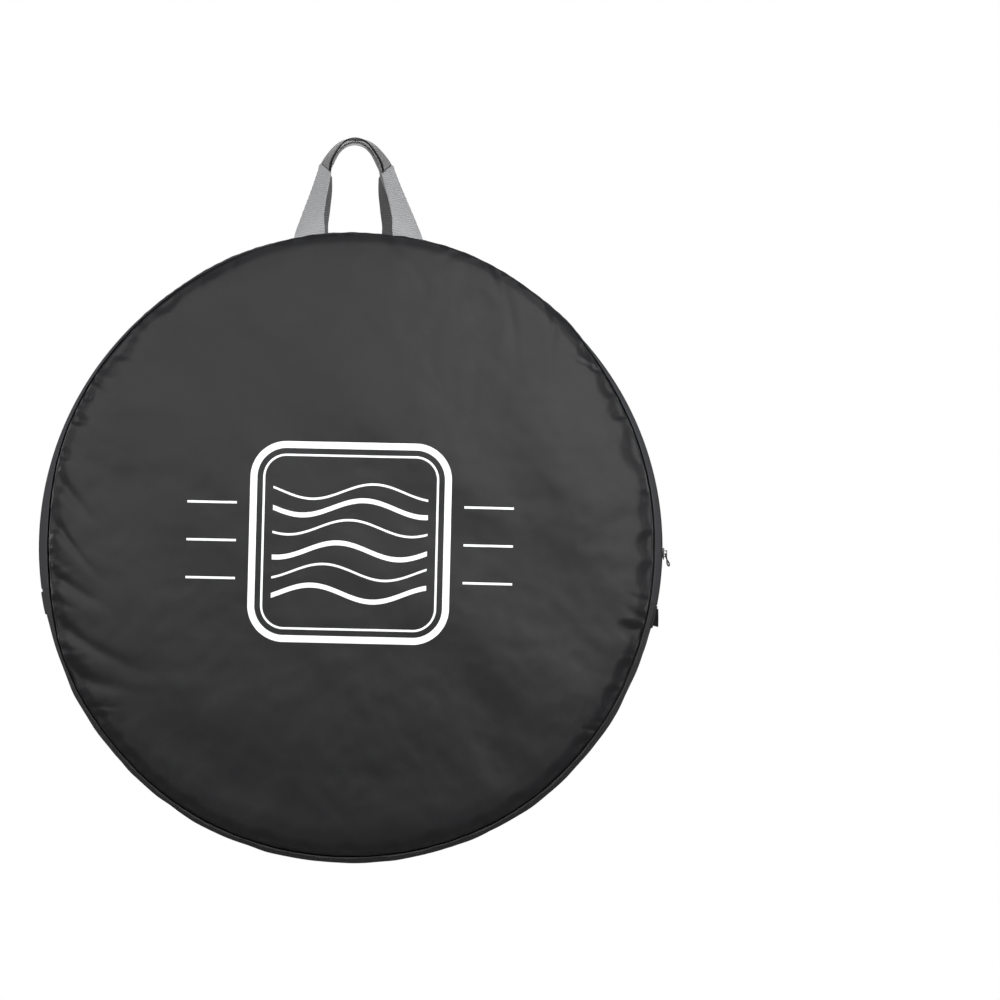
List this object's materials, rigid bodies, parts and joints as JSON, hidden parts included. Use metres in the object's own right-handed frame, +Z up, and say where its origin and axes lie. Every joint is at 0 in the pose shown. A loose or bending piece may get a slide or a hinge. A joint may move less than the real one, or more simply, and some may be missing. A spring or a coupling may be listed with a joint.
{
  "type": "bicycle wheel bag",
  "caption": "Round padded bag for one bicycle wheel, with a zip over its top, a front panel that folds down and a pair of webbing handles.",
  "frame": {"origin": "underside of the handles' grips, where a hand or a hook holds the bag", "axes": "+Z up along the hanging bag, -Y out of the front panel, +X to the right when it is seen from the front"},
  "size_m": [0.7707, 0.1362, 0.8776],
  "materials": {
    "shell_nylon": "satin dark grey nylon",
    "base_cloth": "matt woven",
    "foam_padding": "matt closed-cell foam",
    "lining_cloth": "satin",
    "zip_tape_cloth": "matt woven",
    "zip_coil": "satin",
    "seam_binding": "matt woven",
    "hub_guard": "matt",
    "grey_webbing": "matt ribbed webbing",
    "black_webbing": "matt ribbed webbing",
    "slider_metal": "satin black",
    "pull_cord": "satin"
  },
  "bodies": {
    "bag_body": {"front_lower_shell": "shell_nylon", "rear_panel_shell": "shell_nylon", "rear_band_shell": "shell_nylon", "base_gusset_shell": "base_cloth", "zip_end_patch_left": "base_cloth", "zip_end_patch_right": "base_cloth", "front_lower_foam": "foam_padding", "rear_panel_foam": "foam_padding", "rear_band_foam": "foam_padding", "base_gusset_foam": "foam_padding", "front_lower_lining": "lining_cloth", "rear_panel_lining": "lining_cloth", "rear_band_lining": "lining_cloth", "base_gusset_lining": "lining_cloth", "rear_zip_tape": "zip_tape_cloth", "rear_zip_coil": "zip_coil", "front_lower_binding": "seam_binding", "rear_binding": "seam_binding", "rear_hub_guard": "hub_guard", "rear_strap_end_right": "grey_webbing", "rear_strap_end_left": "grey_webbing", "zip_end_tab": "black_webbing"},
    "front_flap": {"front_upper_shell": "shell_nylon", "front_upper_foam": "foam_padding", "front_upper_lining": "lining_cloth", "front_hub_guard": "hub_guard", "front_upper_binding": "seam_binding", "front_band_shell": "shell_nylon", "front_band_foam": "foam_padding", "front_band_lining": "lining_cloth", "front_zip_tape": "zip_tape_cloth", "front_zip_coil": "zip_coil", "front_strap_end_right": "grey_webbing", "front_strap_end_left": "grey_webbing"},
    "front_handle": {"front_handle": "grey_webbing"},
    "rear_handle": {"rear_handle": "grey_webbing"},
    "zip_slider": {"slider_body": "slider_metal"},
    "zip_pull": {"pull_loop": "pull_cord"}
  },
  "joints": [
    {"name": "flap_fold", "type": "hinge", "parent": "bag_body", "child": "front_flap", "pos_m": [0, -0.06815, -0.5488], "axis": [1, 0, 0], "range_deg": [0, 130]},
    {"name": "front_handle_fold", "type": "hinge", "parent": "front_flap", "child": "front_handle", "pos_m": [0, -0.052, -0.11477], "axis": [1, 0, 0], "range_deg": [0, 150]},
    {"name": "rear_handle_fold", "type": "hinge", "parent": "bag_body", "child": "rear_handle", "pos_m": [0, 0.052, -0.11477], "axis": [-1, 0, 0], "range_deg": [0, 150]},
    {"name": "zip_travel", "type": "hinge", "parent": "bag_body", "child": "zip_slider", "pos_m": [0, 0, -0.48477], "axis": [0, -1, 0], "range_deg": [-6, 186]},
    {"name": "pull_swing", "type": "hinge", "parent": "zip_slider", "child": "zip_pull", "pos_m": [0.3843, 0, -0.48477], "axis": [0, -1, 0], "range_deg": [-13, 163]}
  ]
}
